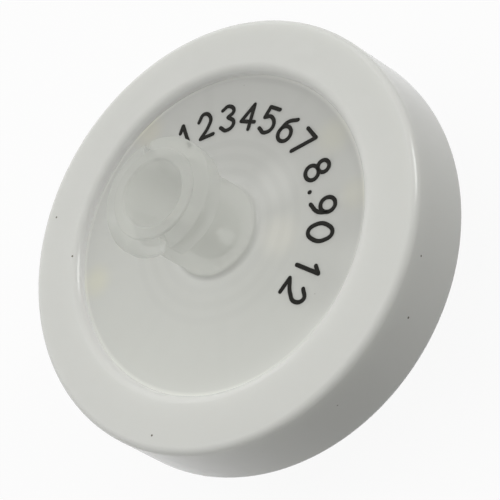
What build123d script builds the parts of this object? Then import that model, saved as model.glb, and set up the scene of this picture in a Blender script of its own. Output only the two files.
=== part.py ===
from build123d import *
from math import ceil, radians, tan
import os

# A disposable syringe filter: two housings clamp a filter medium, with a rim moulded around their edges.
# Millimetres. +Z points out of the inlet. The origin is the centre of the inlet socket's mouth.

# Luer fittings, which every syringe and needle shares
LUER_TAPER = 0.06  # change of diameter for each millimetre of length
SOCKET_MOUTH_D = 4.30
SOCKET_LEAD_IN = 0.12
LUG_D = 7.80
LUG_LEAD = 5.00
NOZZLE_TIP_D = 3.97
NOZZLE_TAPER_LENGTH = 8.50

# Inlet hub and its pair of locking lugs
HUB_HEIGHT = 6.85
HUB_TIP_D = 6.00
HUB_DRAFT = 0.022  # growth of radius for each millimetre towards the plate
HUB_TIP_EDGE = 0.12
HUB_FOOT_FILLET = 0.35
PORT_D = 2.20
PORT_LENGTH = 1.10  # from the bottom of the socket to the chamber
LUG_COUNT = 2
LUG_TOP = 0.45  # from the mouth to the upper edge of a lug's crest
LUG_TIP_WIDTH = 0.20  # width of the crest where a lug starts
LUG_WIDTH = 1.25  # width of the crest past the ramp
LUG_FLANK_RUN = 0.40  # how far each flank spreads from the crest to the root
LUG_START_ANGLE = 46.0
LUG_TURN = 173.0
LUG_SINK = 0.25  # how far a lug's root goes into the hub's wall
RAMP_OVERRUN_TURN = 8.0  # how far the cut that leaves the ramp goes on past both ends of it

# Housings
CHAMBER_D = 23.60
INLET_PLATE = 1.85
OUTLET_PLATE = 1.65
PINCH_WIDTH = 1.10  # the band outside the chamber where the housings pinch the medium
TONGUE_WIDTH = 0.50
TONGUE_DEPTH = 1.20
TONGUE_CLEARANCE = 0.05

# Grooves in both plates, which leave ribs against the medium. Each branching doubles how many there are.
GROOVE_WIDTH = 0.60
GROOVE_DEPTH = 0.45
GROOVE_END_WALL = 0.40  # between the grooves' outer ends and the chamber's wall
INLET_RING_R = 4.10
INLET_RING_COUNT = 3
INLET_RING_PITCH = 1.00
INLET_GROOVE_COUNT = 8
INLET_GROOVE_ANGLE = -4.0
INLET_BRANCH_R = 6.10
OUTLET_GROOVE_COUNT = 12
OUTLET_BRANCH_R = 4.60
OUTLET_LAST_BRANCH_R = 7.90

# Filter medium, pinched at its edge between the housings
PREFILTER_THICKNESS = 0.40
PREFILTER_PINCHED = 0.22
MEMBRANE_THICKNESS = 0.15
MEDIUM_EDGE_CLEARANCE = 0.05
PINCH_SLOPE_WIDTH = 0.30

# Outlet nozzle
OUTLET_BORE_D = 2.00
NOZZLE_BOSS_D = 6.40
NOZZLE_BOSS_LENGTH = 1.60
NOZZLE_BOSS_EDGE = 0.30
NOZZLE_FOOT_FILLET = 0.40
NOZZLE_TIP_EDGE = 0.15
DRAIN_D = 3.60
DRAIN_DEPTH = 0.95

# Rim moulded around the edges of both housings
RIM_WALL = 1.60  # outside the housings' edges, at the rim's front
RIM_DRAFT = 0.055  # growth of radius for each millimetre from the inlet side to the outlet side
RIM_EDGE_FILLET = 0.85
LIP_REACH = 2.40  # in over each housing's face
LIP_HEIGHT = 0.70
LIP_WALL_RUN = 0.12  # how far a lip's wall leans out over its height
LIP_EDGE_FILLET = 0.40

ROUNDING_RUN = 0.65  # the longest straight run along a rounded corner of an outline

# Levels along the axis, from the inlet's mouth down
inlet_face_z = -HUB_HEIGHT
prefilter_top_z = inlet_face_z - INLET_PLATE
socket_bottom_z = prefilter_top_z + PORT_LENGTH
membrane_top_z = prefilter_top_z - PREFILTER_THICKNESS
support_z = membrane_top_z - MEMBRANE_THICKNESS
outlet_face_z = support_z - OUTLET_PLATE
pinch_z = membrane_top_z + PREFILTER_PINCHED
nozzle_boss_z = outlet_face_z - NOZZLE_BOSS_LENGTH
nozzle_tip_z = nozzle_boss_z - NOZZLE_TAPER_LENGTH
tongue_z = pinch_z - TONGUE_DEPTH

# Radii that several pieces share
chamber_r = CHAMBER_D / 2
tongue_r = chamber_r + PINCH_WIDTH
housing_r = tongue_r + TONGUE_WIDTH
seat_r = tongue_r - TONGUE_CLEARANCE
medium_r = tongue_r - MEDIUM_EDGE_CLEARANCE
hub_tip_r = HUB_TIP_D / 2
hub_foot_r = hub_tip_r + HUB_DRAFT * HUB_HEIGHT


def rounded(before, corner, after, radius):
    """The points that round one corner of an outline between its two neighbours."""
    middle = Vector(corner)
    back = (Vector(before) - middle).normalized()
    onward = (Vector(after) - middle).normalized()
    reach = radius / tan(radians(back.get_angle(onward)) / 2)
    arc = TangentArc(middle + back * reach, middle + onward * reach, tangent=-back)
    steps = ceil(arc.length / ROUNDING_RUN)
    return [arc @ (i / steps) for i in range(steps + 1)]


def turned(*corners):
    """A solid turned about the axis from (radius, height) corners. A third number rounds a corner."""
    points = []
    for i, (r, z, *radius) in enumerate(corners):
        if radius:
            points += rounded(corners[i - 1][:2], (r, z), corners[i + 1][:2], radius[0])
        else:
            points.append((r, z))
    return revolve(make_face(Plane.XZ * Polyline(*points, close=True)), Axis.Z, 360)


def locking_lug():
    """A right-hand lug: its upper face is flat, and its lower face starts as a helical ramp and ends flat."""
    root_r = hub_tip_r - LUG_SINK
    crest_r = LUG_D / 2
    low_z = -LUG_TOP - LUG_WIDTH
    corners = (
        (root_r, -LUG_TOP + LUG_FLANK_RUN),
        (crest_r, -LUG_TOP),
        (crest_r, low_z),
        (root_r, low_z - LUG_FLANK_RUN),
    )
    outline = make_face(Plane.XZ * Polyline(*corners, close=True)).rotate(Axis.Z, -LUG_TURN)
    flange = revolve(outline, Axis.Z, LUG_TURN)
    # what lies under the ramp, as a section that is swept up along a helix from the ramp's low end
    ramp_turn = 360 * (LUG_WIDTH - LUG_TIP_WIDTH) / LUG_LEAD
    turn = ramp_turn + 2 * RAMP_OVERRUN_TURN
    start_z = low_z - LUG_LEAD * RAMP_OVERRUN_TURN / 360
    flank_slope = LUG_FLANK_RUN / (crest_r - root_r)
    inner_r = root_r - LUG_SINK
    outer_r = crest_r + LUG_SINK
    waste = (
        (inner_r, start_z - flank_slope * (crest_r - inner_r)),
        (outer_r, start_z + flank_slope * LUG_SINK),
        (outer_r, start_z - 2 * LUG_WIDTH),
        (inner_r, start_z - 2 * LUG_WIDTH),
    )
    section = make_face(Plane.XZ * Polyline(*waste, close=True))
    path = Helix(LUG_LEAD, LUG_LEAD * turn / 360, crest_r, center=(0, 0, start_z), direction=(0, 0, 1))
    cut = sweep(section, path=path, is_frenet=True).rotate(Axis.Z, -ramp_turn - RAMP_OVERRUN_TURN)
    return (flange - cut).rotate(Axis.Z, LUG_START_ANGLE)


def branching_grooves(first_count, first_angle, inner_radii):
    """The outline of radial grooves, those from each further radius halfway between the ones before."""
    outer_r = chamber_r - GROOVE_END_WALL
    grooves = []
    for branching, inner_r in enumerate(inner_radii):
        count = first_count * 2 ** max(branching - 1, 0)
        start = first_angle + (180 / count if branching else 0)
        groove = Pos((inner_r + outer_r) / 2, 0) * Rectangle(outer_r - inner_r, GROOVE_WIDTH)
        grooves += [Rot(0, 0, start + 360 / count * i) * groove for i in range(count)]
    return Sketch() + grooves


def inlet_grooves():
    """The grooves in the inlet plate: from the port outwards, with rings that join them and branches."""
    radii = [INLET_RING_R + INLET_RING_PITCH * i for i in range(INLET_RING_COUNT)]
    rings = [Circle(r + GROOVE_WIDTH / 2) - Circle(r - GROOVE_WIDTH / 2) for r in radii]
    inner_radii = (0, INLET_BRANCH_R, INLET_BRANCH_R)
    grooves = branching_grooves(INLET_GROOVE_COUNT, INLET_GROOVE_ANGLE, inner_radii) + rings
    return extrude(Plane.XY.offset(prefilter_top_z) * grooves, GROOVE_DEPTH)


def outlet_grooves():
    """The grooves in the outlet plate, which lead what passes the membrane to the drain."""
    inner_radii = (OUTLET_BORE_D / 2, OUTLET_BRANCH_R, OUTLET_LAST_BRANCH_R)
    grooves = branching_grooves(OUTLET_GROOVE_COUNT, 0, inner_radii)
    return extrude(Plane.XY.offset(support_z) * grooves, -GROOVE_DEPTH)


def inlet_housing():
    """The inlet shell: luer-lock hub, grooved plate, and a tongue that closes around the medium."""
    body = turned(
        (0, 0),
        (hub_tip_r - HUB_TIP_EDGE, 0),
        (hub_tip_r, -HUB_TIP_EDGE),
        (hub_foot_r, inlet_face_z, HUB_FOOT_FILLET),
        (housing_r, inlet_face_z),
        (housing_r, tongue_z),
        (tongue_r, tongue_z),
        (tongue_r, pinch_z),
        (chamber_r, pinch_z),
        (chamber_r, prefilter_top_z),
        (0, prefilter_top_z),
    )
    body += [Rot(0, 0, 360 / LUG_COUNT * i) * locking_lug() for i in range(LUG_COUNT)]
    mouth_r = SOCKET_MOUTH_D / 2
    socket = turned(
        (0, 0),
        (mouth_r + SOCKET_LEAD_IN, 0),
        (mouth_r - SOCKET_LEAD_IN * LUER_TAPER / 2, -SOCKET_LEAD_IN),
        (mouth_r + socket_bottom_z * LUER_TAPER / 2, socket_bottom_z),
        (PORT_D / 2, socket_bottom_z),
        (PORT_D / 2, prefilter_top_z),
        (0, prefilter_top_z),
    )
    return body - socket - inlet_grooves()


def outlet_housing():
    """The outlet shell: grooved plate, drain, boss and tapered nozzle."""
    tip_r = NOZZLE_TIP_D / 2
    root_r = tip_r + NOZZLE_TAPER_LENGTH * LUER_TAPER / 2
    boss_r = NOZZLE_BOSS_D / 2
    body = turned(
        (0, support_z),
        (seat_r, support_z),
        (seat_r, tongue_z),
        (housing_r, tongue_z),
        (housing_r, outlet_face_z),
        (boss_r, outlet_face_z, NOZZLE_FOOT_FILLET),
        (boss_r, nozzle_boss_z + NOZZLE_BOSS_EDGE),
        (boss_r - NOZZLE_BOSS_EDGE, nozzle_boss_z),
        (root_r, nozzle_boss_z),
        (tip_r, nozzle_tip_z + NOZZLE_TIP_EDGE),
        (tip_r - NOZZLE_TIP_EDGE, nozzle_tip_z),
        (0, nozzle_tip_z),
    )
    drain = turned(
        (0, support_z),
        (DRAIN_D / 2, support_z),
        (OUTLET_BORE_D / 2, support_z - DRAIN_DEPTH),
        (OUTLET_BORE_D / 2, nozzle_tip_z),
        (0, nozzle_tip_z),
    )
    return body - drain - outlet_grooves()


def prefilter():
    """The coarse layer on the inlet side, thinner where the housings pinch its edge."""
    slope_r = chamber_r - PINCH_SLOPE_WIDTH
    return turned(
        (0, membrane_top_z),
        (medium_r, membrane_top_z),
        (medium_r, pinch_z),
        (chamber_r, pinch_z),
        (slope_r, prefilter_top_z),
        (0, prefilter_top_z),
    )


def membrane():
    """The fine layer, flat on the ribs between the outlet plate's grooves."""
    return turned(
        (0, support_z),
        (medium_r, support_z),
        (medium_r, membrane_top_z),
        (0, membrane_top_z),
    )


def rim_ring():
    """The rim: it fills the space around both housings and laps over their faces with a lip on each side."""
    front_z = inlet_face_z + LIP_HEIGHT
    rear_z = outlet_face_z - LIP_HEIGHT
    front_r = housing_r + RIM_WALL
    rear_r = front_r + RIM_DRAFT * (front_z - rear_z)
    mouth_r = housing_r - LIP_REACH
    foot_r = mouth_r - LIP_WALL_RUN
    return turned(
        (housing_r, inlet_face_z),
        (foot_r, inlet_face_z),
        (mouth_r, front_z, LIP_EDGE_FILLET),
        (front_r, front_z, RIM_EDGE_FILLET),
        (rear_r, rear_z, RIM_EDGE_FILLET),
        (mouth_r, rear_z, LIP_EDGE_FILLET),
        (foot_r, outlet_face_z),
        (housing_r, outlet_face_z),
    )


os.makedirs("parts", exist_ok=True)
export_step(inlet_housing(), "parts/inlet_housing.step")
export_step(outlet_housing(), "parts/outlet_housing.step")
export_step(prefilter(), "parts/prefilter.step")
export_step(membrane(), "parts/membrane.step")
export_step(rim_ring(), "parts/rim_ring.step")
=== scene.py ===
from math import atan2, cos, pi, radians, sin

import bmesh
import bpy
from mathutils import Matrix, Vector


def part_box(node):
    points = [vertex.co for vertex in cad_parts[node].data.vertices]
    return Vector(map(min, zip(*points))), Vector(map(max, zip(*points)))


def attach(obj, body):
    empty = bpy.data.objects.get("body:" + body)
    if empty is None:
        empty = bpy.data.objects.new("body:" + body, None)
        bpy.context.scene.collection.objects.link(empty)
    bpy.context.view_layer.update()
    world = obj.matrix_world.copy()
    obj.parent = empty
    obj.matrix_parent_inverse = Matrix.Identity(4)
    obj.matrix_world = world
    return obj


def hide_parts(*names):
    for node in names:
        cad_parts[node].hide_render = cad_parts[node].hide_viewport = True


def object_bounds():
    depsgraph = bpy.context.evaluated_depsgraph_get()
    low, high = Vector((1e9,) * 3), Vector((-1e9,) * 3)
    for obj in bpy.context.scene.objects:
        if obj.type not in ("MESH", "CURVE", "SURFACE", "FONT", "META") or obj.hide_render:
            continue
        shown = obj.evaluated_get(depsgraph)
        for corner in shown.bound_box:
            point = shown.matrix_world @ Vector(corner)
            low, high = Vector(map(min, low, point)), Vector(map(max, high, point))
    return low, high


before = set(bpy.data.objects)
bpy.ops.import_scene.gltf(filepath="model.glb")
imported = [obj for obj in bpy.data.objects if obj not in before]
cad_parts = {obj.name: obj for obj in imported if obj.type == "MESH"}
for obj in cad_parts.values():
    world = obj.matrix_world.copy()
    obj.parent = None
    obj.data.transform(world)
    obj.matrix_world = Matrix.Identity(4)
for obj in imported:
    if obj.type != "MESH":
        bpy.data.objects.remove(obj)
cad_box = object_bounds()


# ---- Camera ----
# The filter is looked at from its inlet side, tilted over to the upper left, as a hand would hold it.
# Every size in this file is in millimetres, unless its name or comment says otherwise.
MM = 0.001
CAMERA_PLACE = (0.014, -56.06, 57.65)
CAMERA_RIGHT = (0.5045, -0.6681, -0.5469)
CAMERA_UP = (0.8634, 0.3904, 0.3195)
SENSOR_WIDTH = 36
LENS = 95.29
NEAREST_M = 0.002
FARTHEST_M = 20

scene = bpy.context.scene
camera_data = bpy.data.cameras.new("camera")
camera_data.sensor_width = SENSOR_WIDTH
camera_data.lens = LENS
camera_data.clip_start = NEAREST_M
camera_data.clip_end = FARTHEST_M
camera = bpy.data.objects.new("camera", camera_data)
scene.collection.objects.link(camera)
right = Vector(CAMERA_RIGHT)
back = right.cross(Vector(CAMERA_UP)).normalized()
up = back.cross(right).normalized()
right = up.cross(back)
place = Matrix((right, up, back)).transposed().to_4x4()
place.translation = Vector(CAMERA_PLACE) * MM
camera.matrix_world = place
scene.camera = camera


# ---- Studio ----
# A wide pale table that the nozzle's tip stands on, a plain sky that is brightest above and behind the filter, and
# one soft lamp. The table and the sky show as white to the eye, in gloss and through clear plastic.
TABLE_SIZE_M = 3.0
TABLE_COLOUR = (0.36, 0.36, 0.355, 1)
TABLE_GLOW_SHARE = 0.80
TABLE_GLOW_STRENGTH = 1.14
SKY_TOP = (0.05, 0.50, 0.86)
SKY_LIGHT = (0.12, 1.25)
LAMP_SIDE = (0.80, -0.33, 0.49)
LAMP_AWAY_M = 0.45
LAMP_SIZE_M = 0.14
LAMP_POWER = 0.50
LAMP_TARGET = (0, 0, -8)
WHITE = (1, 1, 1, 1)
WHOLE_SPAN = (0.0, 1.0)


def object_of(made, name, unit=MM):
    """An object at the origin from a bmesh, whose sizes are in millimetres unless another unit is given."""
    bmesh.ops.scale(made, vec=(unit, unit, unit), verts=made.verts)
    mesh = bpy.data.meshes.new(name)
    made.to_mesh(mesh)
    made.free()
    item = bpy.data.objects.new(name, mesh)
    scene.collection.objects.link(item)
    return item


def new_material(name):
    """An empty node material and its node tree."""
    material = bpy.data.materials.new(name)
    material.use_nodes = True
    material.node_tree.nodes.clear()
    return material, material.node_tree


def node(tree, kind, settings=(), **inputs):
    """A shader node. Settings are its own, and each input is a value, a node, or an output of a node."""
    made = tree.nodes.new(kind)
    for key, value in dict(settings).items():
        setattr(made, key, value)
    for key, value in inputs.items():
        socket = made.inputs[int(key[1:]) if key[1:].isdigit() else key.replace("_", " ")]
        if isinstance(value, bpy.types.Node):
            value = value.outputs[0]
        if isinstance(value, bpy.types.NodeSocket):
            tree.links.new(value, socket)
        else:
            socket.default_value = value
    return made


def number_of(tree, operation, a, b):
    """A number that is worked out from two others."""
    return node(tree, "ShaderNodeMath", {"operation": operation}, _0=a, _1=b)


def graded(tree, value, span=WHOLE_SPAN, to=WHOLE_SPAN, smooth=False):
    """A number that goes from one end of to to the other, as a value goes over its span."""
    kind = "SMOOTHSTEP" if smooth else "LINEAR"
    return node(tree, "ShaderNodeMapRange", {"interpolation_type": kind}, Value=value, From_Min=span[0],
                From_Max=span[1], To_Min=to[0], To_Max=to[1])


def blended(tree, share, first, second):
    """Two shaders in one: a share of zero is the first, and of one is the second."""
    return node(tree, "ShaderNodeMixShader", _0=share, _1=first, _2=second)


def seen_by_eye(tree):
    """One for rays from the camera, from gloss and through clear plastic, and zero for those that light things."""
    path = node(tree, "ShaderNodeLightPath").outputs
    gloss = number_of(tree, "MAXIMUM", path["Is Camera Ray"], path["Is Glossy Ray"])
    return number_of(tree, "MAXIMUM", gloss, path["Is Transmission Ray"])


scene.view_settings.view_transform = "Standard"
made = bmesh.new()
bmesh.ops.create_grid(made, x_segments=2, y_segments=2, size=TABLE_SIZE_M / 2)
bmesh.ops.translate(made, verts=made.verts, vec=(0, 0, cad_box[0][2]))
table = object_of(made, "table", unit=1)
pale_table, tree = new_material("pale_table")
paint = node(tree, "ShaderNodeBsdfDiffuse", Color=TABLE_COLOUR)
glow = node(tree, "ShaderNodeEmission", Color=WHITE, Strength=TABLE_GLOW_STRENGTH)
glow_share = number_of(tree, "MULTIPLY", seen_by_eye(tree), TABLE_GLOW_SHARE)
node(tree, "ShaderNodeOutputMaterial", Surface=blended(tree, glow_share, paint, glow))
table.data.materials.append(pale_table)

sky = bpy.data.worlds.new("sky")
sky.use_nodes = True
tree = sky.node_tree
direction = node(tree, "ShaderNodeTexCoord").outputs["Generated"]
height = node(tree, "ShaderNodeVectorMath", {"operation": "DOT_PRODUCT"}, _0=direction,
              _1=Vector(SKY_TOP).normalized()).outputs["Value"]
sky_light = graded(tree, height, to=SKY_LIGHT)
sky_shown = graded(tree, seen_by_eye(tree), to=(sky_light, 1.0))
background = tree.nodes["Background"]
background.inputs["Color"].default_value = WHITE
tree.links.new(sky_shown.outputs[0], background.inputs["Strength"])
scene.world = sky

lamp_data = bpy.data.lights.new("key_lamp", "AREA")
lamp_data.shape = "SQUARE"
lamp_data.size = LAMP_SIZE_M
lamp_data.energy = LAMP_POWER
lamp = bpy.data.objects.new("key_lamp", lamp_data)
lamp.visible_camera = False
lamp_side = Vector(LAMP_SIDE).normalized()
lamp.rotation_euler = lamp_side.to_track_quat("Z", "Y").to_euler()
lamp.location = lamp_side * LAMP_AWAY_M + Vector(LAMP_TARGET) * MM
scene.collection.objects.link(lamp)


# ---- Rim ----
# White polypropylene, overmoulded around both housings in one shot. Its lips lap over both plates, and its outside
# leans out towards the back so that it leaves the mould. It is glossy, with soft round edges.
RIM_LEAN = 0.52
LIP_R = 10.98
LIP_FOOT_R = 10.96
LIP_HEIGHT = 0.70
SEAT_R = 13.40
LIP_ROUNDING = 0.66
FRONT_ROUNDING = 0.45
REAR_ROUNDING = 0.55
REAR_LIP_ROUNDING = 0.38
TURN_STEPS = 240
CORNER_STEPS = 8
MERGE_DISTANCE = 0.0005
RIM_CREASE_ANGLE = 40
RIM_COLOURS = ((0.655, 0.660, 0.625, 1), (0.680, 0.684, 0.650, 1))
RIM_ROUGHNESS = (0.16, 0.24)
RIM_MILK = 0.8
# painted light: the paler colour of the lip's foot, in place of the crease's shade
LIP_FOOT_PAINTED_LIGHT = (0.88, 0.88, 0.85, 1)
LIP_FOOT_TOP = 0.25
LIP_FOOT_FADE_R = (11.1, 11.3)
DUST_COLOUR = (0.10, 0.085, 0.06, 1)
DUST_SIZE = (0.035, 0.055)
DUST_RARITY = 0.72
PLASTIC_IOR = 1.49
EVEN_SCATTER = (1.0, 1.0, 1.0)
rim_low, rim_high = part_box("rim_ring")
rim_front_z = rim_high.z / MM
rim_rear_z = rim_low.z / MM
rim_rear_r = rim_high.x / MM
rim_front_r = rim_rear_r - RIM_LEAN
plate_z = rim_front_z - LIP_HEIGHT
back_plate_z = rim_rear_z + LIP_HEIGHT


def round_corners(made, points, corners, steps):
    """Rounds those points of an outline whose corners have a rounding, before it is turned."""
    for point, (_, _, rounding) in zip(points, corners):
        if rounding:
            bmesh.ops.bevel(made, geom=[point], offset=rounding, offset_type="OFFSET", segments=steps, profile=0.5,
                            affect="VERTICES", material=-1)


def spun(corners):
    """A bmesh in millimetres of an outline turned about the axis. Each corner is a radius, a height and a rounding."""
    made = bmesh.new()
    points = [made.verts.new((r, 0, z)) for r, z, _ in corners]
    for a, b in zip(points, points[1:] + points[:1]):
        made.edges.new((a, b))
    round_corners(made, points, corners, CORNER_STEPS)
    bmesh.ops.spin(made, geom=made.verts[:] + made.edges[:], cent=(0, 0, 0), axis=(0, 0, 1), dvec=(0, 0, 0),
                   angle=2 * pi, steps=TURN_STEPS, use_merge=True, use_duplicate=False)
    bmesh.ops.remove_doubles(made, verts=made.verts, dist=MERGE_DISTANCE)
    bmesh.ops.recalc_face_normals(made, faces=made.faces)
    return made


def piece_of(made, name):
    """A piece of the filter, from a bmesh in millimetres. It rides on the one body."""
    piece = object_of(made, name)
    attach(piece, "root")
    return piece


def mesh_of(item):
    """The mesh that an object's modifiers or its curve make."""
    bpy.context.view_layer.update()
    return bpy.data.meshes.new_from_object(item.evaluated_get(bpy.context.evaluated_depsgraph_get()))


def settle(item):
    """Makes an object's modifiers part of its mesh."""
    settled = mesh_of(item)
    item.modifiers.clear()
    item.data = settled


def smooth_over(piece, crease_angle):
    """Soft shading over the flats and the rounded edges, with a crease where faces meet at a larger angle."""
    piece.data.shade_smooth()
    piece.data.set_sharp_from_angle(angle=radians(crease_angle))
    weighted = piece.modifiers.new("weighted", "WEIGHTED_NORMAL")
    weighted.keep_sharp = True
    settle(piece)


def dress(piece, material):
    """Gives a piece its one material."""
    piece.data.materials.clear()
    piece.data.materials.append(material)


def in_metres(low, high):
    """A span of sizes, as a material reads it."""
    return low * MM, high * MM


def noise(tree, where, scale, detail):
    """A soft random pattern, from zero to one. The scale counts its features in a metre."""
    return node(tree, "ShaderNodeTexNoise", Vector=where, Scale=scale, Detail=detail).outputs["Fac"]


def mixed(tree, share, first, second):
    """Two colours in one: a share of zero is the first, and of one is the second."""
    return node(tree, "ShaderNodeMix", {"data_type": "RGBA"}, _0=share, _6=first, _7=second).outputs[2]


def away_from_axis(tree, where):
    """The distance from the filter's axis."""
    flat = node(tree, "ShaderNodeVectorMath", {"operation": "MULTIPLY"}, _0=where, _1=(1, 1, 0))
    return node(tree, "ShaderNodeVectorMath", {"operation": "LENGTH"}, _0=flat).outputs["Value"]


def dusty(tree, where, colour):
    """A colour with a few specks of dust, each under a tenth of a millimetre across."""
    dust = node(tree, "ShaderNodeTexVoronoi", Vector=where, Scale=620.0)
    near = graded(tree, dust.outputs["Distance"], DUST_SIZE, (1.0, 0.0))
    chance = node(tree, "ShaderNodeSeparateColor", Color=dust.outputs["Color"])
    few = number_of(tree, "GREATER_THAN", chance, DUST_RARITY)
    return mixed(tree, number_of(tree, "MULTIPLY", near, few), colour, DUST_COLOUR)


rim = piece_of(spun([
    (SEAT_R, plate_z, 0),
    (LIP_FOOT_R, plate_z, 0),
    (LIP_R, rim_front_z, LIP_ROUNDING),
    (rim_front_r, rim_front_z, FRONT_ROUNDING),
    (rim_rear_r, rim_rear_z, REAR_ROUNDING),
    (LIP_R, rim_rear_z, REAR_LIP_ROUNDING),
    (LIP_FOOT_R, back_plate_z, 0),
    (SEAT_R, back_plate_z, 0),
]), "overmoulded_rim")
smooth_over(rim, RIM_CREASE_ANGLE)
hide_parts("rim_ring")

# at the foot of its lip the rim is painted paler, painted light that hides the crease's dark line, and lets no light
# into its depth
white_plastic, tree = new_material("white_polypropylene")
where = node(tree, "ShaderNodeTexCoord").outputs["Object"]
cloud = noise(tree, where, scale=160.0, detail=3.0)
grain = noise(tree, where, scale=5200.0, detail=2.0)
sink = noise(tree, where, scale=260.0, detail=1.0)
skin = node(tree, "ShaderNodeBump", Height=grain, Strength=0.05, Distance=0.02 * MM)
form = node(tree, "ShaderNodeBump", Height=sink, Strength=0.25, Distance=0.1 * MM, Normal=skin)
height = node(tree, "ShaderNodeSeparateXYZ", Vector=where).outputs["Z"]
low = graded(tree, height, in_metres(plate_z, rim_front_z - LIP_FOOT_TOP), (1.0, 0.0))
inner = graded(tree, away_from_axis(tree, where), in_metres(*LIP_FOOT_FADE_R), (1.0, 0.0))
at_foot = number_of(tree, "MULTIPLY", low, inner)
rim_colour = mixed(tree, at_foot, mixed(tree, cloud, *RIM_COLOURS), LIP_FOOT_PAINTED_LIGHT)
rim_milk = graded(tree, at_foot, to=(RIM_MILK, 0.0))
rim_plastic = node(tree, "ShaderNodeBsdfPrincipled", Base_Color=dusty(tree, where, rim_colour),
                   Roughness=graded(tree, sink, to=RIM_ROUGHNESS), IOR=PLASTIC_IOR, Normal=form,
                   Subsurface_Weight=rim_milk, Subsurface_Scale=1.5 * MM, Subsurface_Radius=EVEN_SCATTER)
node(tree, "ShaderNodeOutputMaterial", Surface=rim_plastic)
dress(rim, white_plastic)


# ---- Inlet housing ----
# One moulding of natural polypropylene, milky and half clear: the luer-lock hub with its conical socket and two
# right-hand lugs, and the round plate, grooved underneath. Heights count from the hub's mouth, at the origin.
SOCKET_R = 2.15
SOCKET_SLOPE = 0.03
SOCKET_BOTTOM_Z = -7.60
SOCKET_BOTTOM_ROUNDING = 0.15
MOUTH_CHAMFER = 0.12
MOUTH_ROUNDING = 0.05
PORT_R = 1.10
HUB_TIP_R = 3.00
HUB_TIP_ROUNDING = 0.14
HUB_FOOT_R = 3.15
HUB_FOOT_ROUNDING = 0.34
HUB_FOOT_SPREAD = 0.345
HUB_SINK = 0.02
LUG_R = 3.90
LUG_LEAD = 5.00
LUG_TOP = 0.45
LUG_TIP_WIDTH = 0.20
LUG_WIDTH = 1.25
LUG_FLANK_RUN = 0.40
LUG_SINK = 0.25
LUG_START_ANGLES = (46, 226)
LUG_TURN = 173
LUG_STEPS = 96
LUG_EDGE_ROUNDING = 0.10
LUG_EDGE_STEPS = 5
LUG_END_ROUNDING = 0.09
LUG_END_STEPS = 4
TONGUE_WIDTH = 0.50
CHAMBER_R = 11.80
PINCH_Z = -8.88
PREFILTER_GAP = 0.02
GROOVE_WIDTH = 0.60
GROOVE_DEPTH = 0.45
GROOVE_FOOT_ROUNDING = 0.08
GROOVE_TOP_ROUNDING = 0.12
GROOVE_END_R = 11.40
GROOVE_ANGLE = -4
GROOVE_COUNT = 8
GROOVE_START_R = 0.5
BRANCH_START_R = 6.10
RING_RADII = (4.10, 5.10, 6.10)
CUT_CLEARANCE = 0.2
HOUSING_CREASE_ANGLE = 35
tongue_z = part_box("inlet_housing")[0].z / MM
prefilter_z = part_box("prefilter")[1].z / MM + PREFILTER_GAP
groove_top_z = prefilter_z + GROOVE_DEPTH
hub_low_z = plate_z - HUB_SINK


def lug(start_angle):
    """A right-hand lug: its upper face is flat, and its lower face starts as a ramp and ends flat."""
    made = bmesh.new()
    root_r = HUB_TIP_R - LUG_SINK
    low_z = -LUG_TOP - LUG_TIP_WIDTH
    corners = [
        (root_r, -LUG_TOP + LUG_FLANK_RUN, 0),
        (LUG_R, -LUG_TOP, LUG_EDGE_ROUNDING),
        (LUG_R, low_z, LUG_EDGE_ROUNDING),
        (root_r, low_z - LUG_FLANK_RUN, 0),
    ]
    points = [made.verts.new((r, 0, z)) for r, z, _ in corners]
    made.faces.new(points)
    round_corners(made, points, corners, LUG_EDGE_STEPS)
    section = made.faces[:] + made.edges[:] + made.verts[:]
    bmesh.ops.spin(made, geom=section, cent=(0, 0, 0), axis=(0, 0, -1), dvec=(0, 0, 0), angle=radians(LUG_TURN),
                   steps=LUG_STEPS, use_duplicate=False)
    middle_z = -LUG_TOP - LUG_TIP_WIDTH / 2
    start_tolerance = 0.01
    for vert in made.verts:
        turned = (-atan2(vert.co.y, vert.co.x)) % (2 * pi)
        if turned > 2 * pi - start_tolerance:
            turned = 0
        if vert.co.z < middle_z:
            vert.co.z -= min(LUG_LEAD * turned / (2 * pi), LUG_WIDTH - LUG_TIP_WIDTH)
    bmesh.ops.recalc_face_normals(made, faces=made.faces)
    ends = [face for face in made.faces if len(face.verts) > 4]
    outside_r = HUB_TIP_R + 0.05
    outer = [edge for face in ends for edge in face.edges
             if max(vert.co.xy.length for vert in edge.verts) > outside_r]
    bmesh.ops.bevel(made, geom=outer, offset=LUG_END_ROUNDING, offset_type="OFFSET", segments=LUG_END_STEPS,
                    profile=0.5, affect="EDGES", material=-1)
    bmesh.ops.recalc_face_normals(made, faces=made.faces)
    turn = Matrix.Rotation(radians(start_angle), 3, "Z")
    bmesh.ops.rotate(made, verts=made.verts, cent=(0, 0, 0), matrix=turn)
    return made


def groove_cutter(count, first_angle, start_r, branch_r, low_z, high_z):
    """Radial bars that cut a plate's grooves: the main ones, and a branch halfway between each two of them."""
    made = bmesh.new()
    step = 360 / count
    for angle, inner_r in ((first_angle, start_r), (first_angle + step / 2, branch_r)):
        for i in range(count):
            bar = bmesh.ops.create_cube(made, size=1)["verts"]
            bmesh.ops.scale(made, verts=bar, vec=(GROOVE_END_R - inner_r, GROOVE_WIDTH, high_z - low_z))
            bmesh.ops.translate(made, verts=bar, vec=((inner_r + GROOVE_END_R) / 2, 0, (low_z + high_z) / 2))
            turn = Matrix.Rotation(radians(angle + step * i), 3, "Z")
            bmesh.ops.rotate(made, verts=bar, cent=(0, 0, 0), matrix=turn)
    return object_of(made, "groove_cutter")


def combine(item, tool, operation):
    """Joins a tool to an object or cuts the object with it, and removes the tool."""
    change = item.modifiers.new("combined", "BOOLEAN")
    change.operation = operation
    change.object = tool
    change.solver = "EXACT"
    settle(item)
    bpy.data.objects.remove(tool)


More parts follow.
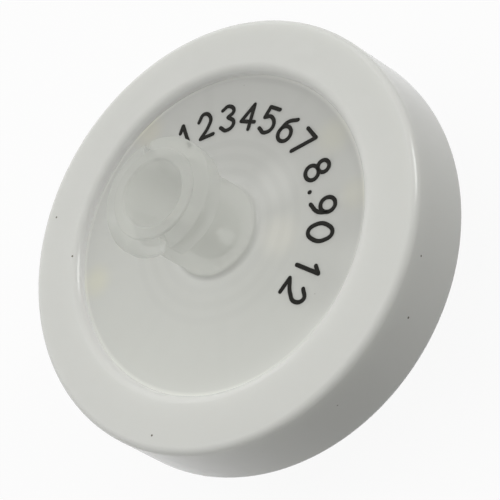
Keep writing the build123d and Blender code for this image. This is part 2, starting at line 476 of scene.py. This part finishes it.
# the hub is a closed shell of its own, sunk a little into the plate, so that the milky plate shows through it
hub = object_of(spun([
    (SOCKET_R + hub_low_z * SOCKET_SLOPE, hub_low_z, 0),
    (SOCKET_R, -MOUTH_CHAMFER, MOUTH_ROUNDING),
    (SOCKET_R + MOUTH_CHAMFER, 0, MOUTH_ROUNDING),
    (HUB_TIP_R, 0, HUB_TIP_ROUNDING),
    (HUB_FOOT_R, plate_z, HUB_FOOT_ROUNDING),
    (HUB_FOOT_R + HUB_FOOT_SPREAD, plate_z, 0),
    (HUB_FOOT_R + HUB_FOOT_SPREAD, hub_low_z, 0),
]), "hub")
for start_angle in LUG_START_ANGLES:
    combine(hub, object_of(lug(start_angle), "lug"), "UNION")

# the plate with its tongue, the chamber's roof and the grooves around the port
outline = [
    (PORT_R, SOCKET_BOTTOM_Z, 0),
    (SOCKET_R + SOCKET_BOTTOM_Z * SOCKET_SLOPE, SOCKET_BOTTOM_Z, SOCKET_BOTTOM_ROUNDING),
    (SOCKET_R + plate_z * SOCKET_SLOPE, plate_z, 0),
    (SEAT_R, plate_z, 0),
    (SEAT_R, tongue_z, 0),
    (SEAT_R - TONGUE_WIDTH, tongue_z, 0),
    (SEAT_R - TONGUE_WIDTH, PINCH_Z, 0),
    (CHAMBER_R, PINCH_Z, 0),
    (CHAMBER_R, prefilter_z, 0),
]
for ring_r in reversed(RING_RADII):
    outline += [
        (ring_r + GROOVE_WIDTH / 2, prefilter_z, GROOVE_FOOT_ROUNDING),
        (ring_r + GROOVE_WIDTH / 2, groove_top_z, GROOVE_TOP_ROUNDING),
        (ring_r - GROOVE_WIDTH / 2, groove_top_z, GROOVE_TOP_ROUNDING),
        (ring_r - GROOVE_WIDTH / 2, prefilter_z, GROOVE_FOOT_ROUNDING),
    ]
outline.append((PORT_R, prefilter_z, 0))
inlet = piece_of(spun(outline), "inlet_plate_and_hub")
combine(inlet, groove_cutter(GROOVE_COUNT, GROOVE_ANGLE, GROOVE_START_R, BRANCH_START_R,
                             prefilter_z - CUT_CLEARANCE, groove_top_z), "DIFFERENCE")
made = bmesh.new()
made.from_mesh(inlet.data)
made.from_mesh(hub.data)
made.to_mesh(inlet.data)
made.free()
bpy.data.objects.remove(hub)
smooth_over(inlet, HOUSING_CREASE_ANGLE)
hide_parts("inlet_housing")

# The plate is painted darker towards one side, as painted shade, with soft patches: yellowish tints of its own, a
# painted highlight and painted shade. Each patch has a place on the plate, a radius, the width of its soft edge, a
# strength and a colour.
PAINTED_SHADE_COLOURS = ((0.640, 0.649, 0.606, 1), (0.468, 0.470, 0.444, 1))
PAINTED_SHADE_ANGLE = 15
PAINTED_SHADE_SPAN = (-11, 11)
PAINTED_SHADE_SWAY = 3.0
PLATE_TINTS_AND_PAINTED_LIGHT = (
    # two paler patches near the hub: a painted highlight
    ((1.7, -4.7), 2.0, 1.6, 0.22, (0.86, 0.83, 0.72, 1)),
    ((4.5, -2.3), 2.2, 1.8, 0.20, (0.84, 0.84, 0.80, 1)),
    # four yellowish tints of the plastic itself
    ((-7.1, 7.0), 1.7, 1.5, 0.34, (0.72, 0.70, 0.50, 1)),
    ((3.6, 10.0), 1.8, 1.5, 0.25, (0.62, 0.58, 0.40, 1)),
    ((8.8, -4.4), 1.8, 1.5, 0.20, (0.62, 0.60, 0.42, 1)),
    ((6.2, -8.2), 1.6, 1.3, 0.20, (0.66, 0.63, 0.45, 1)),
    # two grey patches near the rim: painted shade
    ((0.6, -10.2), 2.6, 2.4, 0.22, (0.40, 0.40, 0.38, 1)),
    ((4.6, -9.0), 2.6, 2.4, 0.26, (0.40, 0.40, 0.38, 1)),
)
GROOVE_LINE = (0.15, 0.60)
GROOVE_LINE_STRENGTH = 0.45
RING_LINE = (0.10, 0.40)
RING_PITCH = 1.0
RING_FADE_R = (RING_RADII[-1] + 0.3, RING_RADII[-1] + 0.5)
INLET_FADE_Z = (plate_z - 1.0, plate_z - 0.5)
LINE_SHADES = (0.99, 0.955)
PLATE_MILK = 0.7
MILK_STARTS_R = (HUB_FOOT_R + 0.35, HUB_FOOT_R + 1.2)
MILK_ENDS_R = (9.8, 10.8)
# painted light along the lip's foot, over the crease's shade, and a painted bright line there
EDGE_R = (10.5, 10.95)
EDGE_PAINTED_LIGHT = (1.0, 1.10)
FOOT_LINE_R = (10.68, 10.88)
FOOT_LINE_PAINTED_LIGHT = 1.22
INSIDE_COLOUR = (0.74, 0.75, 0.71, 1)
PLATE_ROUGHNESS = 0.30
HAZE_COLOUR = (0.735, 0.745, 0.705, 1)
HAZE_THROUGH = 0.44
CLEAR_COLOUR = (1, 1, 0.99, 1)
GLEAM_COLOUR = (0.8, 0.8, 0.8, 1)
GLEAM_ROUGHNESS = 0.22
GLEAM_IOR = 1.25
PLATE_AND_HUB_CLEAR = (0.06, 0.52)
HUB_FADE_Z = (plate_z + 0.02, plate_z + 0.5)


def scaled(tree, colour, factor):
    """A colour made lighter or darker by a factor."""
    return node(tree, "ShaderNodeVectorMath", {"operation": "SCALE"}, _0=colour, Scale=factor)


natural_plastic, tree = new_material("natural_polypropylene")
where = node(tree, "ShaderNodeTexCoord").outputs["Object"]
along = node(tree, "ShaderNodeSeparateXYZ", Vector=where).outputs
radius = away_from_axis(tree, where)
painted_shade_direction = (cos(radians(PAINTED_SHADE_ANGLE)), sin(radians(PAINTED_SHADE_ANGLE)), 0)
across = node(tree, "ShaderNodeVectorMath", {"operation": "DOT_PRODUCT"}, _0=where,
              _1=painted_shade_direction).outputs["Value"]
cloud = noise(tree, where, scale=140.0, detail=3.0)
sway = node(tree, "ShaderNodeMath", {"operation": "MULTIPLY_ADD"}, _0=cloud, _1=PAINTED_SHADE_SWAY * MM,
            _2=-PAINTED_SHADE_SWAY / 2 * MM)
towards_painted_shade = graded(tree, number_of(tree, "ADD", across, sway), in_metres(*PAINTED_SHADE_SPAN))
# painted shade: the plate's colour is darker towards one side
plate_colour = mixed(tree, towards_painted_shade, *PAINTED_SHADE_COLOURS)
# the patches: the plastic's own tints, a painted highlight and painted shade
for (x, y), reach, edge, strength, patch_colour in PLATE_TINTS_AND_PAINTED_LIGHT:
    away = node(tree, "ShaderNodeVectorMath", {"operation": "DISTANCE"}, _0=where,
                _1=Vector((x, y, plate_z)) * MM).outputs["Value"]
    spot = graded(tree, away, in_metres(reach - edge, reach), (1.0, 0.0), smooth=True)
    plate_colour = mixed(tree, number_of(tree, "MULTIPLY", spot, strength), plate_colour, patch_colour)

# the grooves under the plate show through it as faint lines, and those around the port as rings
angle = number_of(tree, "ARCTAN2", along["Y"], along["X"])
turned = number_of(tree, "ADD", angle, radians(360 - GROOVE_ANGLE))
off_line_angle = number_of(tree, "PINGPONG", turned, radians(180 / GROOVE_COUNT))
off_line = number_of(tree, "MULTIPLY", off_line_angle, radius)
groove_line = graded(tree, off_line, in_metres(*GROOVE_LINE), (GROOVE_LINE_STRENGTH, 0.0), smooth=True)
past_ring = number_of(tree, "SUBTRACT", radius, RING_RADII[0] * MM)
off_ring = number_of(tree, "PINGPONG", past_ring, RING_PITCH / 2 * MM)
ring_line = graded(tree, off_ring, in_metres(*RING_LINE), (1.0, 0.0), smooth=True)
near_port = graded(tree, radius, in_metres(*RING_FADE_R), (1.0, 0.0))
ring_near_port = number_of(tree, "MULTIPLY", ring_line, near_port)
either_line = number_of(tree, "MAXIMUM", groove_line, ring_near_port)
on_inlet = graded(tree, along["Z"], in_metres(*INLET_FADE_Z))
line = number_of(tree, "MULTIPLY", either_line, on_inlet)
line_shade = graded(tree, towards_painted_shade, to=LINE_SHADES)
plate_colour = scaled(tree, plate_colour, graded(tree, line, to=(1.0, line_shade)))

# along the lip's foot the plate is painted brighter, painted light over the crease's shade with a painted bright line,
# and has no depth of its own
painted_edge_light = graded(tree, towards_painted_shade, to=EDGE_PAINTED_LIGHT)
plate_colour = scaled(tree, plate_colour, graded(tree, radius, in_metres(*EDGE_R), (1.0, painted_edge_light)))
painted_foot_line = graded(tree, radius, in_metres(*FOOT_LINE_R), (1.0, FOOT_LINE_PAINTED_LIGHT))
plate_colour = scaled(tree, plate_colour, painted_foot_line)
milk_from_hub = graded(tree, radius, in_metres(*MILK_STARTS_R), (0.0, PLATE_MILK))
plate_milk = graded(tree, radius, in_metres(*MILK_ENDS_R), (milk_from_hub, 0.0))
grain = noise(tree, where, scale=3000.0, detail=2.0)
skin = node(tree, "ShaderNodeBump", Height=grain, Strength=0.08, Distance=0.02 * MM)
milky = node(tree, "ShaderNodeBsdfPrincipled", Base_Color=dusty(tree, where, plate_colour),
             Roughness=PLATE_ROUGHNESS, IOR=PLASTIC_IOR, Normal=skin, Subsurface_Weight=plate_milk,
             Subsurface_Scale=1.2 * MM, Subsurface_Radius=EVEN_SCATTER)
inner_face = node(tree, "ShaderNodeBsdfDiffuse", Color=INSIDE_COLOUR)
from_inside = node(tree, "ShaderNodeNewGeometry").outputs["Backfacing"]
plate = blended(tree, from_inside, milky, inner_face)

# the hub is a pale haze that about half of what is behind it shows through, with a thin gleam on its skin
near_side = node(tree, "ShaderNodeBsdfDiffuse", Color=HAZE_COLOUR)
far_side = node(tree, "ShaderNodeBsdfTranslucent", Color=HAZE_COLOUR)
haze = blended(tree, HAZE_THROUGH, near_side, far_side)
see_through = node(tree, "ShaderNodeBsdfTransparent", Color=CLEAR_COLOUR)
gleam = node(tree, "ShaderNodeBsdfAnisotropic", Color=GLEAM_COLOUR, Roughness=GLEAM_ROUGHNESS, Normal=skin)
clear = blended(tree, node(tree, "ShaderNodeFresnel", IOR=GLEAM_IOR), see_through, gleam)
on_hub = graded(tree, along["Z"], in_metres(*HUB_FADE_Z))
body = blended(tree, on_hub, plate, haze)
clear_share = graded(tree, on_hub, to=PLATE_AND_HUB_CLEAR)
node(tree, "ShaderNodeOutputMaterial", Surface=blended(tree, clear_share, body, clear))
dress(inlet, natural_plastic)

# light goes through this plastic, so it throws no shadow, and nothing beside it takes on its tone
inlet.visible_shadow = False
inlet.visible_diffuse = False


# ---- Print ----
# Plain running digits, pad-printed in black ink on the plate in an arc, their feet towards the hub.
# The ink is a film of about a hundredth of a millimetre, a little rough at its edges.
DIGIT_FOOT_R = 7.08
DIGIT_HEIGHT = 1.76
DIGIT_WIDTH = 1.06
STROKE_WIDTH = 0.29
INK_THICKNESS = 0.03
INK_COLOURS = ((0.008, 0.008, 0.007, 1), (0.024, 0.023, 0.019, 1))
# A digit's strokes are drawn in a box one unit high, with its width from -0.5 to 0.5. A stroke that ends where it
# starts is closed.
SIX = (
    ((0, 0), (0.46, 0.30), (0, 0.60), (-0.46, 0.30), (0, 0)),
    ((-0.46, 0.30), (-0.30, 0.72), (0.25, 1)),
)
STROKES = {
    "0": (((0, 0), (0.46, 0.27), (0.46, 0.73), (0, 1), (-0.46, 0.73), (-0.46, 0.27), (0, 0)),),
    "1": (((-0.30, 0.76), (0.06, 1)), ((0.06, 1), (0.06, 0))),
    "2": (((-0.46, 0.74), (0, 1), (0.44, 0.74), (0.22, 0.40), (-0.48, 0)), ((-0.48, 0), (0.50, 0))),
    "3": (
        ((-0.44, 0.86), (0, 1), (0.42, 0.77), (0.02, 0.54)),
        ((0.02, 0.54), (0.50, 0.27), (0, 0), (-0.48, 0.15)),
    ),
    "4": (((0.20, 0), (0.20, 1)), ((0.20, 1), (-0.50, 0.30)), ((-0.50, 0.30), (0.52, 0.30))),
    "5": (
        ((0.42, 1), (-0.34, 1)),
        ((-0.34, 1), (-0.42, 0.56)),
        ((-0.42, 0.56), (0.05, 0.65), (0.48, 0.33), (0.05, 0), (-0.46, 0.10)),
    ),
    "6": SIX,
    "7": (((-0.46, 1), (0.48, 1)), ((0.48, 1), (-0.15, 0))),
    "8": (
        ((0, 0.54), (0.38, 0.77), (0, 1), (-0.38, 0.77), (0, 0.54)),
        ((0, 0), (0.47, 0.27), (0, 0.54), (-0.47, 0.27), (0, 0)),
    ),
    "9": tuple(tuple((-x, 1 - y) for x, y in stroke) for stroke in SIX),
    ".": (((0, 0), (0, 0.02)),),
}
PRINT_ANGLES = (
    ("1", 56), ("2", 44), ("3", 31), ("4", 18.5), ("5", 6), ("6", 353.5), ("7", 341.5),
    ("8", 324), (".", 314.5), ("9", 305.5), ("0", 293),
    ("1", 276), ("2", 264),
)


def digit(character, angle):
    """One printed character, flat on the plate, as a mesh in millimetres."""
    curve = bpy.data.curves.new("digit", "CURVE")
    curve.dimensions = "3D"
    curve.bevel_depth = STROKE_WIDTH / 2
    curve.bevel_resolution = 3
    curve.resolution_u = 8
    ends = []
    for stroke in STROKES[character]:
        closed = stroke[0] == stroke[-1]
        points = [(x * DIGIT_WIDTH, y * DIGIT_HEIGHT, 0) for x, y in (stroke[:-1] if closed else stroke)]
        spline = curve.splines.new("BEZIER")
        spline.bezier_points.add(len(points) - 1)
        for knot, point in zip(spline.bezier_points, points):
            knot.co = point
            knot.handle_left_type = knot.handle_right_type = "AUTO"
        spline.use_cyclic_u = closed
        ends += [points[0], points[-1]]
    drawn = bpy.data.objects.new("digit", curve)
    scene.collection.objects.link(drawn)
    mesh = mesh_of(drawn)
    bpy.data.objects.remove(drawn)
    ink_tubes = bmesh.new()
    ink_tubes.from_mesh(mesh)
    for end in ends:
        ball = bmesh.ops.create_icosphere(ink_tubes, subdivisions=2, radius=STROKE_WIDTH / 2)["verts"]
        bmesh.ops.translate(ink_tubes, verts=ball, vec=end)
    bmesh.ops.scale(ink_tubes, vec=(1, 1, INK_THICKNESS / STROKE_WIDTH), verts=ink_tubes.verts)
    bmesh.ops.translate(ink_tubes, verts=ink_tubes.verts, vec=(0, 0, INK_THICKNESS / 4))
    ink_tubes.to_mesh(mesh)
    ink_tubes.free()
    turn = radians(angle)
    mesh.transform(Matrix((
        (sin(turn), cos(turn), 0, DIGIT_FOOT_R * cos(turn)),
        (-cos(turn), sin(turn), 0, DIGIT_FOOT_R * sin(turn)),
        (0, 0, 1, plate_z),
        (0, 0, 0, 1),
    )))
    return mesh


made = bmesh.new()
for character, angle in PRINT_ANGLES:
    made.from_mesh(digit(character, angle))
bmesh.ops.remove_doubles(made, verts=made.verts, dist=MERGE_DISTANCE)
bmesh.ops.recalc_face_normals(made, faces=made.faces)
print_piece = piece_of(made, "printed_digits")
black_ink, tree = new_material("black_ink")
where = node(tree, "ShaderNodeTexCoord").outputs["Object"]
ink_colour = mixed(tree, noise(tree, where, scale=2500.0, detail=3.0), *INK_COLOURS)
ink = node(tree, "ShaderNodeBsdfPrincipled", Base_Color=ink_colour, Roughness=0.60, Specular_IOR_Level=0.15)
node(tree, "ShaderNodeOutputMaterial", Surface=ink)
dress(print_piece, black_ink)


# ---- Filter medium ----
# A felt of white glass fibre lies on a fine white film. Both are pinched at their edge between the housings.
# Each layer has the fineness of its fibres, counted in a metre, and two whites.
LAYERS = (
    ("prefilter", 900.0, ((0.74, 0.745, 0.72, 1), (0.80, 0.80, 0.78, 1))),
    ("membrane", 1500.0, ((0.78, 0.78, 0.77, 1), (0.82, 0.82, 0.81, 1))),
)
for name, fineness, whites in LAYERS:
    fibre, tree = new_material(name + "_fibre")
    where = node(tree, "ShaderNodeTexCoord").outputs["Object"]
    fibres = noise(tree, where, scale=fineness, detail=5.0)
    felt = node(tree, "ShaderNodeBump", Height=fibres, Strength=0.4, Distance=0.05 * MM)
    cloth = node(tree, "ShaderNodeBsdfPrincipled", Base_Color=mixed(tree, fibres, *whites), Roughness=0.9,
                 Normal=felt)
    node(tree, "ShaderNodeOutputMaterial", Surface=cloth)
    dress(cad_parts[name], fibre)


# ---- Outlet housing ----
# One moulding of natural polypropylene: the back plate, with the grooves under the medium and the drain, a short
# boss, and the tapered nozzle with its bore. The inlet housing's tongue sits in its edge, and the rim holds both.
TONGUE_SEAT_WIDTH = 0.55
BOSS_R = 3.20
BOSS_HEIGHT = 1.60
BOSS_FOOT_ROUNDING = 0.38
BOSS_ROUNDING = 0.28
NOZZLE_ROOT_R = 2.24
NOZZLE_ROOT_ROUNDING = 0.12
NOZZLE_TIP_R = 1.985
NOZZLE_TIP_ROUNDING = 0.14
BORE_R = 1.00
BORE_ROUNDING = 0.08
DRAIN_R = 1.80
DRAIN_DEPTH = 0.95
DRAIN_GROOVE_COUNT = 12
DRAIN_GROOVE_START_R = 1.4
DRAIN_BRANCH_START_R = 4.60
outlet_low, outlet_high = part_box("outlet_housing")
support_z = outlet_high.z / MM
nozzle_tip_z = outlet_low.z / MM
boss_z = back_plate_z - BOSS_HEIGHT

outlet = piece_of(spun([
    (SEAT_R - TONGUE_SEAT_WIDTH, support_z, 0),
    (SEAT_R - TONGUE_SEAT_WIDTH, tongue_z, 0),
    (SEAT_R, tongue_z, 0),
    (SEAT_R, back_plate_z, 0),
    (BOSS_R, back_plate_z, BOSS_FOOT_ROUNDING),
    (BOSS_R, boss_z, BOSS_ROUNDING),
    (NOZZLE_ROOT_R, boss_z, NOZZLE_ROOT_ROUNDING),
    (NOZZLE_TIP_R, nozzle_tip_z, NOZZLE_TIP_ROUNDING),
    (BORE_R, nozzle_tip_z, BORE_ROUNDING),
    (BORE_R, support_z - DRAIN_DEPTH, 0),
    (DRAIN_R, support_z, 0),
]), "outlet_plate_and_nozzle")
combine(outlet, groove_cutter(DRAIN_GROOVE_COUNT, 0, DRAIN_GROOVE_START_R, DRAIN_BRANCH_START_R,
                              support_z - GROOVE_DEPTH, support_z + CUT_CLEARANCE), "DIFFERENCE")
smooth_over(outlet, HOUSING_CREASE_ANGLE)
dress(outlet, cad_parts["outlet_housing"].data.materials[0])  # the CAD's plain natural plastic, as loaded
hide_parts("outlet_housing")
